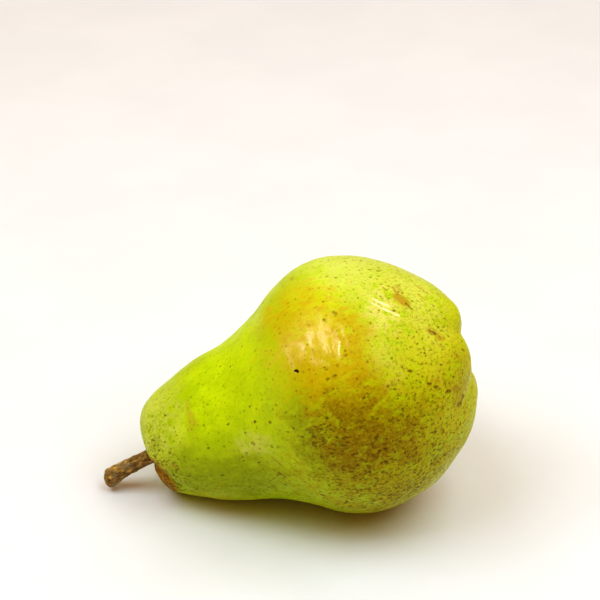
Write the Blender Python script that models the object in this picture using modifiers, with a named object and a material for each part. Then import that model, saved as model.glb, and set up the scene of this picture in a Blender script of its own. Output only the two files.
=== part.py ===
"""A ripe dessert pear lying on its side: the fruit, its woody stem and the dried calyx in its eye.

The pear is shaped in its own frame, in which the core runs along +X from the shoulder, where the
stem leaves (x = 0), to the eye. The empty pear_core then lays it down: the core tips until belly
and neck both rest on the floor at z = 0, with the stem towards -X and the eye towards +X.
The design is in millimetres and degrees, and MM turns its lengths into metres.
Angles round the core count from the top, positive towards -Y.
"""

import math

import bmesh
import bpy
from mathutils import Matrix, Vector, noise

MM = 0.001

# How the fruit lies: the rise of its core from the stem to the eye, the place along X of the
# shoulder's centre and its height with belly and neck just touching the floor, and how much of
# the two the resting flats take off.
LYING_TILT = 23.3
SHOULDER_PLACE = -38.0
SHOULDER_HEIGHT = 12.0
FLAT_DEPTH = 0.5

ROUND_STEPS = 60  # faces round the fruit
OUTLINE_STEPS = 3  # rings between two points of the outline
CLEARANCE = 0.3  # gap between the fruit and the pieces that sit in it

# The fruit's half outline as (distance along the core, distance from it): the wall of the stem
# cavity, the shoulder, the neck, the belly, the rim round the eye and the wall of the eye basin.
OUTLINE = (
    (4.2, 3.4),
    (1.3, 5.0),
    (-0.3, 7.8),
    (0.9, 11.4),
    (5.2, 15.2),
    (12.0, 18.4),
    (21.0, 21.2),
    (31.0, 24.2),
    (41.0, 28.9),
    (51.0, 34.4),
    (61.0, 37.0),
    (71.0, 35.4),
    (80.5, 30.4),
    (88.5, 23.5),
    (93.4, 15.8),
    (95.0, 10.6),
    (93.6, 6.8),
    (90.7, 4.0),
)
BODY_LENGTH = max(along for along, off in OUTLINE)

# The sockets that hold the stem's root and the calyx, as (where they end along the core, radius).
STEM_SOCKET = (8.3, 3.3)
EYE_SOCKET = (88.6, 3.6)

# Both ends stand a little off the core's line, as (along the core where that starts, where it is
# complete, shift along +Y, shift upwards).
OFFSETS = ((24.0, 0.0, 1.8, 0.5), (72.0, 92.0, -0.8, -0.6))

# Swellings of the skin, each (along the core, angle round it, reach along, reach round, height).
SWELLINGS = (
    (0.5, 150.0, 4.0, 30.0, 1.1),
    (1.5, -15.0, 5.0, 40.0, 0.5),
    (21.0, -30.0, 7.0, 40.0, 0.9),
    (43.0, -30.0, 12.0, 50.0, -1.0),
    (49.0, 150.0, 10.0, 50.0, 0.9),
    (64.0, 150.0, 7.0, 45.0, -0.3),
    (76.0, 150.0, 6.0, 45.0, 0.6),
    (84.0, -30.0, 6.0, 45.0, 0.4),
)

# The crease in the shoulder, from the stem round towards the underside.
CREASE_ANGLE = 84.0
CREASE_TURN = 4.2  # degrees for each millimetre along the core
CREASE_HALF_WIDTH = 9.0
CREASE_REACH = 5.0
CREASE_DEPTH = 0.8

# The lobes round the eye: where each has its crown, and how the rim that they form leans.
EYE_LOBES = (8.0, 71.0, 138.0, 214.0, 291.0)
EYE_LOBE_HALF_WIDTH = 34.0
EYE_LOBE_HEIGHT = 1.5
EYE_LOBE_REACH = 8.0
EYE_LEAN = 2.2
EYE_LEAN_ANGLE = 15.0
EYE_LEAN_START = 84.0
EYE_LEAN_RADIUS = 12.0

# Soft lumps of the flesh: their height and their size.
UNEVENNESS = 0.45
UNEVEN_SIZE = 26.0

# The stem's line as (along the core, along +Y, up, radius), from the root to the cut end.
STEM_LINE = (
    (7.9, 0.0, 0.0, 3.0),
    (4.9, 0.0, 0.0, 2.9),
    (1.6, -0.1, 0.0, 2.4),
    (-3.0, -0.3, -0.1, 2.2),
    (-7.6, -0.6, -0.5, 2.15),
    (-11.3, -0.8, -1.0, 2.4),
    (-14.0, -1.0, -1.6, 2.75),
    (-15.8, -1.1, -2.0, 2.6),
    (-16.4, -1.2, -2.2, 2.05),
)
STEM_BEVEL = 5  # gives 14 sides
BARK_LUMPS = 0.22
BARK_LUMP_SIZE = 2.6
BARK_LUMP_STRETCH = 0.55  # lumps are longer along the stem than across it

# The calyx: a disc on the floor of the eye, with sepals and the stubs of stamens standing on it.
DISC_THICKNESS = 1.3
SEPALS = 5
SEPAL_LINE = ((0.5, 2.3), (1.5, 2.4), (2.2, 2.3), (2.7, 1.95), (3.0, 1.4))  # (up, from the middle)
SEPAL_WIDTH = 2.4
SEPAL_THICKNESS = 0.65
SEPAL_ROWS = 6
SEPAL_COLUMNS = 4
STAMENS = 5
STAMEN_RADIUS = 0.32
STAMEN_LENGTH = 1.9
STAMEN_RING = 0.6


def clear_scene():
    """Removes whatever the scene holds, so that the file always starts the same way."""
    for obj in list(bpy.data.objects):
        bpy.data.objects.remove(obj)


def new_collection(name):
    """A collection of this name, linked to the scene."""
    collection = bpy.data.collections.new(name)
    bpy.context.scene.collection.children.link(collection)
    return collection


def new_material(name, colour, roughness, metallic=0.0):
    """A Principled material with one colour, in linear RGB."""
    material = bpy.data.materials.new(name)
    material.use_nodes = True
    shader = material.node_tree.nodes["Principled BSDF"]
    shader.inputs["Base Color"].default_value = (*colour, 1.0)
    shader.inputs["Roughness"].default_value = roughness
    shader.inputs["Metallic"].default_value = metallic
    return material


def skin_material():
    """The fruit's yellow-green skin."""
    return new_material("skin", (0.47, 0.49, 0.02), 0.4)


def bark_material():
    """The stem's brown bark."""
    return new_material("bark", (0.10, 0.05, 0.018), 0.8)


def sepal_material():
    """The calyx's dried, blackish brown leaves."""
    return new_material("dried_sepal", (0.045, 0.032, 0.012), 0.85)


def new_object(name, data, collection, parent=None):
    """An object that holds this data, in a collection and under a parent."""
    obj = bpy.data.objects.new(name, data)
    collection.objects.link(obj)
    obj.parent = parent
    return obj


def baked_mesh(obj):
    """The object's evaluated mesh as new data, with coincident points made one."""
    graph = bpy.context.evaluated_depsgraph_get()
    mesh = bpy.data.meshes.new_from_object(obj.evaluated_get(graph))
    sculpt = bmesh.new()
    sculpt.from_mesh(mesh)
    bmesh.ops.remove_doubles(sculpt, verts=sculpt.verts, dist=0.01 * MM)
    bmesh.ops.recalc_face_normals(sculpt, faces=sculpt.faces)
    sculpt.to_mesh(mesh)
    sculpt.free()
    return mesh


def bell(distance, reach):
    """1 at no distance, fading smoothly to nothing over about twice the reach."""
    return math.exp(-((distance / reach) ** 2))


def smooth_step(share):
    """Eases from 0 to 1 as the share goes from 0 to 1."""
    share = min(1.0, max(0.0, share))
    return share * share * (3.0 - 2.0 * share)


def angle_between(first, second):
    """The smaller angle between two directions round the core."""
    return abs((first - second + 180.0) % 360.0 - 180.0)


def lobes(angle):
    """The round of lobes at the eye: 1 on a lobe's crown, about 0 in the crease between two."""
    return max(1.0 - (angle_between(angle, crown) / EYE_LOBE_HALF_WIDTH) ** 2 for crown in EYE_LOBES)


def shoulder_crease(along, angle):
    """How deep the shoulder's crease is at a place on the fruit."""
    across = angle_between(angle, CREASE_ANGLE + CREASE_TURN * along)
    past_middle = max(0.0, along - CREASE_REACH)
    return CREASE_DEPTH * bell(across, CREASE_HALF_WIDTH) * bell(past_middle, CREASE_REACH)


def growth(along, angle):
    """How far the skin stands off the turned outline at a place on the fruit."""
    height = -shoulder_crease(along, angle)
    for centre, turn, reach_along, reach_round, swell in SWELLINGS:
        height += swell * bell(along - centre, reach_along) * bell(angle_between(angle, turn), reach_round)
    return height + EYE_LOBE_HEIGHT * bell(along - BODY_LENGTH, EYE_LOBE_REACH) * lobes(angle)


def unevenness(point):
    """Soft lumps of the flesh, the same at every run."""
    return UNEVENNESS * noise.noise(point / (UNEVEN_SIZE * MM))


def rim_slant(along, off, angle):
    """How far the leaning rim of the eye shifts a place along the core."""
    share = smooth_step((along - EYE_LEAN_START) / (BODY_LENGTH - EYE_LEAN_START))
    lean = EYE_LEAN * min(1.0, off / EYE_LEAN_RADIUS)
    return lean * share * math.cos(math.radians(angle - EYE_LEAN_ANGLE))


def middle_offset(along):
    """How far the fruit's middle stands off the core's line."""
    offset = Vector((0.0, 0.0, 0.0))
    for start, end, across, up in OFFSETS:
        offset += smooth_step((along - start) / (end - start)) * Vector((0.0, across, up))
    return offset


def smooth_curve(name, points, dimensions):
    """A curve's data: a smooth Bezier line through these points, given in millimetres."""
    curve = bpy.data.curves.new(name, "CURVE")
    curve.dimensions = dimensions
    curve.resolution_u = OUTLINE_STEPS
    spline = curve.splines.new("BEZIER")
    spline.bezier_points.add(len(points) - 1)
    for knot, point in zip(spline.bezier_points, points):
        knot.co = Vector(point) * MM
        knot.handle_left_type = "AUTO"
        knot.handle_right_type = "AUTO"
    return curve


def outline_profile(helpers):
    """The fruit's half section as a chain of edges, closed onto the core by its two sockets."""
    points = [(along, off, 0.0) for along, off in OUTLINE]
    guide = new_object("outline", smooth_curve("outline", points, "2D"), helpers)
    profile = baked_mesh(guide)
    bpy.data.objects.remove(guide)
    sculpt = bmesh.new()
    sculpt.from_mesh(profile)
    ends = [vertex for vertex in sculpt.verts if len(vertex.link_edges) == 1]
    ends.sort(key=lambda vertex: vertex.co.x)
    stem_corners = (STEM_SOCKET, (STEM_SOCKET[0], 0.0))
    eye_corners = ((OUTLINE[-1][0], EYE_SOCKET[1]), EYE_SOCKET, (EYE_SOCKET[0], 0.0))
    for last, corners in zip(ends, (stem_corners, eye_corners)):
        for along, off in corners:
            corner = sculpt.verts.new((along * MM, off * MM, 0.0))
            sculpt.edges.new((last, corner))
            last = corner
    sculpt.to_mesh(profile)
    sculpt.free()
    return profile


def turned_fruit(helpers):
    """The fruit as a body of revolution, its half section turned round the core."""
    turned = new_object("turned_fruit", outline_profile(helpers), helpers)
    screw = turned.modifiers.new("turn", "SCREW")
    screw.axis = "X"
    screw.steps = ROUND_STEPS
    screw.render_steps = ROUND_STEPS
    screw.use_merge_vertices = True
    screw.merge_threshold = 0.01 * MM
    mesh = baked_mesh(turned)
    bpy.data.objects.remove(turned)
    return mesh


def shaped_fruit(helpers):
    """The turned fruit with its swellings, crease, lobes and soft lumps, outside its sockets."""
    mesh = turned_fruit(helpers)
    moves = []
    for vertex in mesh.vertices:
        along = vertex.co.x / MM
        off = math.hypot(vertex.co.y, vertex.co.z) / MM
        angle = math.degrees(math.atan2(-vertex.co.y, vertex.co.z))
        height = growth(along, angle) + unevenness(vertex.co)
        slant = Vector((rim_slant(along, off, angle), 0.0, 0.0))
        in_skin = smooth_step((off - EYE_SOCKET[1]) / 5.0)
        moves.append((vertex.normal * height + slant + middle_offset(along)) * in_skin)
    for vertex, move in zip(mesh.vertices, moves):
        vertex.co += move * MM
    return mesh


def floor_cutter(helpers):
    """A block below the floor, which takes the resting flats off belly and neck."""
    bpy.ops.mesh.primitive_cube_add(size=0.2, location=(0.0, 0.0, -0.1))
    cutter = bpy.context.active_object
    cutter.name = "floor_cutter"
    for owner in list(cutter.users_collection):
        owner.objects.unlink(cutter)
    helpers.objects.link(cutter)
    cutter.hide_render = True
    cutter.display_type = "WIRE"
    return cutter


def make_fruit(pear, helpers, core):
    """The flesh and skin, one body, with the flats that it rests on."""
    fruit = new_object("fruit", shaped_fruit(helpers), pear, core)
    flats = fruit.modifiers.new("resting_flats", "BOOLEAN")
    flats.operation = "DIFFERENCE"
    flats.solver = "EXACT"
    flats.object = floor_cutter(helpers)
    fruit.data.materials.append(skin_material())
    fruit.data.shade_smooth()
    return fruit


def rough_bark(mesh):
    """Raises the lumps of the bark, outside the root that sits in the socket."""
    moves = []
    for vertex in mesh.vertices:
        outside = smooth_step((STEM_LINE[1][0] - vertex.co.x / MM) / 4.0)
        place = vertex.co / (BARK_LUMP_SIZE * MM)
        place.x *= BARK_LUMP_STRETCH
        moves.append(vertex.normal * (BARK_LUMPS * outside * noise.noise(place)))
    for vertex, move in zip(mesh.vertices, moves):
        vertex.co += move * MM


def make_stem(pear, helpers, core):
    """The woody stem: a bent twig that flares into its root and swells at its cut end."""
    points = [point[:3] for point in STEM_LINE]
    curve = smooth_curve("stem_line", points, "3D")
    for knot, point in zip(curve.splines[0].bezier_points, STEM_LINE):
        knot.radius = point[3]
    curve.bevel_depth = MM
    curve.bevel_resolution = STEM_BEVEL
    curve.use_fill_caps = True
    line = new_object("stem_line", curve, helpers)
    mesh = baked_mesh(line)
    bpy.data.objects.remove(line)
    rough_bark(mesh)
    stem = new_object("stem", mesh, pear, core)
    stem.data.materials.append(bark_material())
    stem.data.shade_smooth()
    return stem


def sepal_mesh(index):
    """One dried sepal: a pointed blade that stands up from the disc and folds over the eye."""
    sculpt = bmesh.new()
    bmesh.ops.create_grid(sculpt, x_segments=SEPAL_ROWS, y_segments=SEPAL_COLUMNS, size=0.5)
    fold = 0.2 * math.sin(2.4 * index)
    for vertex in sculpt.verts:
        share = vertex.co.x + 0.5
        place = share * (len(SEPAL_LINE) - 1)
        first = min(int(place), len(SEPAL_LINE) - 2)
        up, off = Vector(SEPAL_LINE[first]).lerp(Vector(SEPAL_LINE[first + 1]), place - first)
        across = vertex.co.y * SEPAL_WIDTH * (1.0 - 0.7 * share * share)
        keel = 0.2 * (2.0 * vertex.co.y) ** 2
        curl = fold * share * share
        vertex.co = Vector((up + curl, across, off - keel + curl)) * MM
    bmesh.ops.solidify(sculpt, geom=sculpt.faces[:], thickness=SEPAL_THICKNESS * MM)
    bmesh.ops.recalc_face_normals(sculpt, faces=sculpt.faces)
    mesh = bpy.data.meshes.new("sepal")
    sculpt.to_mesh(mesh)
    sculpt.free()
    return mesh


def round_bar(name, radius, length, segments):
    """The mesh of a cylinder along X, from x = 0."""
    sculpt = bmesh.new()
    middle = Matrix.Translation((0.5 * length * MM, 0.0, 0.0))
    bmesh.ops.create_cone(
        sculpt,
        cap_ends=True,
        segments=segments,
        radius1=radius * MM,
        radius2=radius * MM,
        depth=length * MM,
        matrix=middle @ Matrix.Rotation(math.pi / 2.0, 4, "Y"),
    )
    mesh = bpy.data.meshes.new(name)
    sculpt.to_mesh(mesh)
    sculpt.free()
    return mesh


def make_calyx(pear, helpers, core):
    """The dried calyx, one body: sepals and stubs of stamens on a disc."""
    growths = new_collection("calyx_growths")
    for index in range(SEPALS):
        sepal = new_object(f"sepal_{index}", sepal_mesh(index), growths)
        sepal.rotation_euler.x = math.tau * (index + 0.12 * math.sin(3.0 * index)) / SEPALS
    stub = round_bar("stamen", STAMEN_RADIUS, STAMEN_LENGTH, 8)
    for index in range(STAMENS):
        stamen = new_object(f"stamen_{index}", stub, growths)
        turn = Matrix.Rotation(math.tau * (index + 0.5) / STAMENS, 4, "X")
        foot = Matrix.Translation((0.5 * DISC_THICKNESS * MM, 0.0, STAMEN_RING * MM))
        lean = Matrix.Rotation(-0.2, 4, "Y")
        stamen.matrix_basis = turn @ foot @ lean
    disc = round_bar("calyx", EYE_SOCKET[1] - CLEARANCE, DISC_THICKNESS, 30)
    whole = new_object("calyx_whole", disc, helpers)
    union = whole.modifiers.new("growths", "BOOLEAN")
    union.operation = "UNION"
    union.solver = "EXACT"
    union.operand_type = "COLLECTION"
    union.collection = growths
    mesh = baked_mesh(whole)
    for obj in [whole, *growths.objects]:
        bpy.data.objects.remove(obj)
    bpy.data.collections.remove(growths)
    calyx = new_object("calyx", mesh, pear, core)
    calyx.location.x = (EYE_SOCKET[0] + CLEARANCE) * MM
    calyx.data.materials.append(sepal_material())
    return calyx


def main():
    clear_scene()
    pear = new_collection("pear")
    helpers = new_collection("pear_cutters")
    core = new_object("pear_core", None, pear)
    core.location = (SHOULDER_PLACE * MM, 0.0, (SHOULDER_HEIGHT - FLAT_DEPTH) * MM)
    core.rotation_euler.y = -math.radians(LYING_TILT)
    make_fruit(pear, helpers, core)
    make_stem(pear, helpers, core)
    make_calyx(pear, helpers, core)


main()
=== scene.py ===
"""A ripe dessert pear lying on its side: its skin, woody stem and dried calyx, on a pale floor.

The pear is shaped in its own frame, in which the core runs along +X from the shoulder, where the
stem leaves (x = 0), to the eye. It is then laid down: the core tips until belly and neck both rest
on the floor at z = 0, with the stem towards -X and the eye towards +X.
Shapes are designed in millimetres and degrees, and MM turns their lengths into metres.
Angles round the core count from the top, positive towards -Y.
"""

import bisect
import math
import random

import bmesh
import bpy
from mathutils import Matrix, Vector, noise


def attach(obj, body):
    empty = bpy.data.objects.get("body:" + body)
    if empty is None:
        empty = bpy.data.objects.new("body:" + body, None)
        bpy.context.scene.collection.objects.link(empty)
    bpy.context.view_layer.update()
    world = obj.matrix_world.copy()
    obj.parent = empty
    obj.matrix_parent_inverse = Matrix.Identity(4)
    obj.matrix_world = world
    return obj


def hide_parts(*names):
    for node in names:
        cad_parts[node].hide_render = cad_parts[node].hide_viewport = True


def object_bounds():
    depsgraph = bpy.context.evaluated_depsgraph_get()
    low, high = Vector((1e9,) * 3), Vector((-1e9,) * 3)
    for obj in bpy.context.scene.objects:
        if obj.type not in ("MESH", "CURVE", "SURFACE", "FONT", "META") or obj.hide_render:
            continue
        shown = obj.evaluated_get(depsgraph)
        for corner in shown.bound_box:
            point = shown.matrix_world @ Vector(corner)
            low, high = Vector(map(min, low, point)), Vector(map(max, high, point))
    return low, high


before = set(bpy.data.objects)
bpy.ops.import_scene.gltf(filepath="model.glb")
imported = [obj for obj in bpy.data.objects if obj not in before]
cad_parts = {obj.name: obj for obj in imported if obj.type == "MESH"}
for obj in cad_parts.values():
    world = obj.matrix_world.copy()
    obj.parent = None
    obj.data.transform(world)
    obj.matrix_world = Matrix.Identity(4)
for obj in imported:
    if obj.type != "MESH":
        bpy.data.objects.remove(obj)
CAD_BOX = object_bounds()

bl_info = {
    "name": "Lying Pear",
    "version": (1, 0, 0),
    "blender": (4, 5, 0),
    "location": "View3D > Sidebar > Pear",
    "description": "Builds a ripe pear lying on its side, with its stem, calyx, floor and light",
    "category": "Add Mesh",
}

MM = 0.001

# How the fruit lies: the rise of its core from the stem to the eye, and the place of the shoulder's
# centre along X and above the floor, once the resting flats are taken off.
LYING_TILT = 23.3
SHOULDER_PLACE = -38.0
SHOULDER_HEIGHT = 11.5

# The fruit's half outline as (distance along the core, distance from it): the wall of the stem
# cavity, the shoulder, the neck, the belly, the rim round the eye and the wall of the eye basin.
OUTLINE = (
    (4.2, 3.4),
    (1.3, 5.0),
    (-0.3, 7.8),
    (0.9, 11.4),
    (5.2, 15.2),
    (12.0, 18.4),
    (21.0, 21.2),
    (31.0, 24.2),
    (41.0, 28.9),
    (51.0, 34.4),
    (61.0, 37.0),
    (71.0, 35.4),
    (80.5, 30.4),
    (88.5, 23.5),
    (93.4, 15.8),
    (95.0, 10.6),
    (93.6, 6.8),
    (90.7, 4.0),
)
BODY_LENGTH = max(along for along, off in OUTLINE)
SOCKET_RADIUS = 3.6
SOCKET_BLEND = 5.0  # how far outside its sockets the skin's relief reaches its full height
MERGE_DISTANCE = 0.0005
CAVITY_FLOOR = ((7.4, 0.0), (7.2, 1.4), (6.2, 2.4))  # closes round the stem's root
EYE_FLOOR = ((89.1, 2.9), (88.7, 1.5), (88.6, 0.0))  # closes under the calyx

OUTLINE_STEPS = 16
FRUIT_SIDES = 300

# Both ends stand a little off the core's line, as (along the core where that starts, where it is
# complete, shift along +Y, shift upwards).
OFFSETS = ((24.0, 0.0, 1.8, 0.5), (72.0, 92.0, -0.8, -0.6))

# Swellings of the skin, each (along the core, angle round it, reach along, reach round, height).
SWELLINGS = (
    (0.5, 150.0, 4.0, 30.0, 1.1),
    (1.5, -15.0, 5.0, 40.0, 0.5),
    (21.0, -30.0, 7.0, 40.0, 0.9),
    (43.0, -30.0, 12.0, 50.0, -1.0),
    (49.0, 150.0, 10.0, 50.0, 0.9),
    (64.0, 150.0, 7.0, 45.0, -0.3),
    (76.0, 150.0, 6.0, 45.0, 0.6),
    (84.0, -30.0, 6.0, 45.0, 0.4),
)

# The crease in the shoulder, from the stem round towards the underside.
CREASE_ANGLE = 84.0
CREASE_TURN = 4.2  # degrees for each millimetre along the core
CREASE_HALF_WIDTH = 9.0
CREASE_REACH = 5.0
CREASE_DEPTH = 0.8

# The lobes round the eye: where each has its crown, and how the rim that they form leans.
EYE_LOBES = (8.0, 71.0, 138.0, 214.0, 291.0)
EYE_LOBE_HALF_WIDTH = 32.0
EYE_CREASE_SHARPNESS = 3.0
EYE_LOBE_HEIGHT = 1.5
EYE_LOBE_REACH = 8.0
EYE_LEAN = 2.2
EYE_LEAN_ANGLE = 15.0
EYE_LEAN_START = 84.0
EYE_LEAN_RADIUS = 12.0

# Soft lumps of the flesh, each (height, size).
LUMPS = ((0.45, 26.0), (0.1, 8.0), (0.025, 2.8))

# The stem's line as (along the core, along +Y, up, radius), from the root to the cut end.
STEM_LINE = (
    (7.9, 0.0, 0.0, 3.0),
    (4.9, 0.0, 0.0, 2.9),
    (1.6, -0.1, 0.0, 2.4),
    (-3.0, -0.3, -0.1, 2.2),
    (-7.6, -0.6, -0.5, 2.15),
    (-11.3, -0.8, -1.0, 2.4),
    (-14.3, -1.0, -1.6, 2.75),
    (-16.3, -1.1, -2.0, 2.6),
    (-16.95, -1.2, -2.2, 2.05),
)
STEM_END = ((-17.05, 1.5), (-16.8, 0.8), (-16.65, 0.0))
STEM_STEPS = 14
STEM_SIDES = 72

# The bark's lumps, each (height, size, stretch). They start on the root, which is smooth, and reach
# their full height this far out.
BARK_LUMPS = ((0.24, 2.6, 0.55), (0.17, 0.9, 0.55), (0.08, 0.45, 0.7))
BARK_START = 4.9
BARK_BLEND = 4.0

# The knobs on the stem, each (along the core, angle round the stem, reach, height), and the middle
# and radius of the stem there.
KNOBS = ((-9.6, 0.0, 0.8, 0.3), (-7.9, 15.0, 0.7, 0.28), (-12.8, 60.0, 1.0, 0.3), (-5.0, 80.0, 0.9, 0.2))
KNOB_MIDDLE = (-0.8, -1.0)
KNOB_RADIUS = 2.15

# The calyx: a disc on the floor of the eye, with sepals and the stubs of stamens standing on it.
CALYX_PLACE = 88.9
DISC_THICKNESS = 1.3
DISC_OUTLINE = ((0.0, 0.0), (0.0, 3.3), (0.8, 3.3), (DISC_THICKNESS, 1.6), (1.0, 0.0))
DISC_SIDES = 40
SEPALS = 5
SEPAL_LINE = ((0.5, 2.3), (1.5, 2.4), (2.2, 2.3), (2.7, 1.95), (3.0, 1.4))  # (up, from the middle)
SEPAL_STEPS = 4
SEPAL_WIDTH = 2.4
SEPAL_TAPER = 0.7  # the share of its width that a sepal loses by its tip
SEPAL_FOLD = 0.2
SEPAL_KEEL = 0.2
SEPAL_RAGGED = 0.12
SEPAL_THICKNESS = 0.45
SEPAL_ROWS = 14
SEPAL_COLUMNS = 8
STAMENS = 5
STAMEN_RADIUS = 0.32
STAMEN_TIP = 0.8  # the tip's share of that radius
STAMEN_LENGTH = 1.9
STAMEN_RING = 0.6
STAMEN_LEAN = 0.2  # radians
STAMEN_SIDES = 10
STAMEN_EDGE = 0.08

# The stage, in metres: softboxes as (name, share of the light, width and height, bearing, height).
SOFTBOXES = (
    ("left_softbox", 0.45, (0.65, 0.6), 285.0, 62.0),
    ("right_softbox", 0.55, (0.8, 0.7), 75.0, 62.0),
    ("back_softbox", 0.14, (1.2, 0.5), 180.0, 35.0),
)
LIGHT_DISTANCE = 0.9
KEY_COLOUR = (0.84, 1.0, 0.93)  # of the softboxes
FILL_COLOUR = (1.0, 0.45, 0.11, 1.0)  # of the room's even light
FLOOR_HALF = 3.0
# Painted cooler far off, to offset the warm fill that lights the floor beyond the softboxes' light.
FAR_FLOOR = (0.68, 0.78, 1.0, 1.0)  # the floor's colour where it is far from the pear
SENSOR_WIDTH = 36.0
LENS = 110.5
CAMERA_HEIGHT = 30.0
CAMERA_DISTANCE = 0.5114
CAMERA_AIM = Vector((0.0039, 0.0, 0.0632))  # from the middle of the pear's footprint


def bell(distance, reach):
    """1 at no distance, fading smoothly to nothing over about twice the reach."""
    return math.exp(-((distance / reach) ** 2))


def smooth_step(share):
    """Eases from 0 to 1 as the share goes from 0 to 1."""
    share = min(1.0, max(0.0, share))
    return share * share * (3.0 - 2.0 * share)


def angle_between(first, second):
    """The smaller angle between two directions round the core."""
    return abs((first - second + 180.0) % 360.0 - 180.0)


def lobes(angle):
    """The round of lobes at the eye: 1 on a lobe's crown, about 0 in the crease between two."""
    rounds = (1.0 - (angle_between(angle, crown) / EYE_LOBE_HALF_WIDTH) ** 2 for crown in EYE_LOBES)
    total = sum(math.exp(EYE_CREASE_SHARPNESS * height) for height in rounds)
    return math.log(total) / EYE_CREASE_SHARPNESS


def shoulder_crease(along, angle):
    """How deep the shoulder's crease is at a place on the fruit."""
    across = angle_between(angle, CREASE_ANGLE + CREASE_TURN * along)
    past_middle = max(0.0, along - CREASE_REACH)
    return CREASE_DEPTH * bell(across, CREASE_HALF_WIDTH) * bell(past_middle, CREASE_REACH)


def growth(along, angle):
    """How far the skin stands off the turned outline at a place on the fruit."""
    height = -shoulder_crease(along, angle)
    for centre, turn, reach_along, reach_round, swell in SWELLINGS:
        height += swell * bell(along - centre, reach_along) * bell(angle_between(angle, turn), reach_round)
    return height + EYE_LOBE_HEIGHT * bell(along - BODY_LENGTH, EYE_LOBE_REACH) * lobes(angle)


def unevenness(point):
    """Lumps of the flesh from soft to fine, the same at every run."""
    return sum(height * noise.noise(point / size) for height, size in LUMPS)


def rim_slant(along, off, angle):
    """How far the leaning rim of the eye shifts a place along the core."""
    share = smooth_step((along - EYE_LEAN_START) / (BODY_LENGTH - EYE_LEAN_START))
    lean = EYE_LEAN * min(1.0, off / EYE_LEAN_RADIUS)
    return lean * share * math.cos(math.radians(angle - EYE_LEAN_ANGLE))


def middle_offset(along):
    """How far the fruit's middle stands off the core's line."""
    offset = Vector((0.0, 0.0, 0.0))
    for start, end, across, up in OFFSETS:
        offset += smooth_step((along - start) / (end - start)) * Vector((0.0, across, up))
    return offset


def smooth_line(points, steps):
    """Places on a smooth line through these points, with so many steps from one to the next."""
    curve = bpy.data.curves.new("guide", "CURVE")
    curve.dimensions = "3D"
    curve.resolution_u = steps
    spline = curve.splines.new("BEZIER")
    spline.bezier_points.add(len(points) - 1)
    for knot, point in zip(spline.bezier_points, points):
        knot.co = Vector(point).to_3d()
        knot.handle_left_type = "AUTO"
        knot.handle_right_type = "AUTO"
    guide = bpy.data.objects.new("guide", curve)
    bpy.context.scene.collection.objects.link(guide)
    graph = bpy.context.evaluated_depsgraph_get()
    line = bpy.data.meshes.new_from_object(guide.evaluated_get(graph))
    places = [vertex.co.copy() for vertex in line.vertices]
    bpy.data.objects.remove(guide)
    bpy.data.meshes.remove(line)
    return places


def turned(sculpt, chain, steps):
    """Turns a chain of (along the core, distance from it) round the core, into a closed skin."""
    corners = [sculpt.verts.new((point[0], point[1], 0.0)) for point in chain]
    edges = [sculpt.edges.new(pair) for pair in zip(corners, corners[1:])]
    bmesh.ops.spin(
        sculpt,
        geom=corners + edges,
        axis=(1.0, 0.0, 0.0),
        angle=math.tau,
        steps=steps,
        use_merge=True,
    )
    bmesh.ops.remove_doubles(sculpt, verts=sculpt.verts, dist=MERGE_DISTANCE)
    bmesh.ops.recalc_face_normals(sculpt, faces=sculpt.faces)
    sculpt.normal_update()


def lying():
    """Takes a place in the pear's frame, in millimetres, to where it lies, in metres."""
    place = Matrix.Translation((SHOULDER_PLACE * MM, 0.0, SHOULDER_HEIGHT * MM))
    return place @ Matrix.Rotation(-math.radians(LYING_TILT), 4, "Y") @ Matrix.Scale(MM, 4)


def finished_piece(name, sculpt, node, finish):
    """The piece that stands for a solid: its mesh laid down, with its finish and its body."""
    bmesh.ops.transform(sculpt, matrix=lying(), verts=sculpt.verts)
    for vertex in sculpt.verts:
        vertex.co.z = max(vertex.co.z, 0.0)
    mesh = bpy.data.meshes.new(name)
    sculpt.to_mesh(mesh)
    sculpt.free()
    mesh.shade_smooth()
    mesh.materials.append(finish)
    piece = bpy.data.objects.new(name, mesh)
    bpy.context.scene.collection.objects.link(piece)
    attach(piece, "root")
    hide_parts(node)


def shape_fruit(sculpt):
    """Moves the turned fruit's skin out to its swellings, crease, lobes and lumps."""
    moves = []
    for vertex in sculpt.verts:
        along = vertex.co.x
        off = math.hypot(vertex.co.y, vertex.co.z)
        angle = math.degrees(math.atan2(-vertex.co.y, vertex.co.z))
        height = growth(along, angle) + unevenness(vertex.co)
        slant = Vector((rim_slant(along, off, angle), 0.0, 0.0))
        in_skin = smooth_step((off - SOCKET_RADIUS) / SOCKET_BLEND)
        moves.append((vertex.normal * height + slant + middle_offset(along)) * in_skin)
    for vertex, move in zip(sculpt.verts, moves):
        vertex.co += move


def bend_along(sculpt, places):
    """Shifts each place of a straight body sideways, to where the line through these places runs."""
    alongs = [-place.x for place in places]
    for vertex in sculpt.verts:
        index = min(max(bisect.bisect(alongs, -vertex.co.x), 1), len(places) - 1)
        first, second = places[index - 1], places[index]
        share = min(1.0, max(0.0, (vertex.co.x - first.x) / (second.x - first.x)))
        middle = first.lerp(second, share)
        vertex.co += Vector((0.0, middle.y, middle.z))


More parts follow.
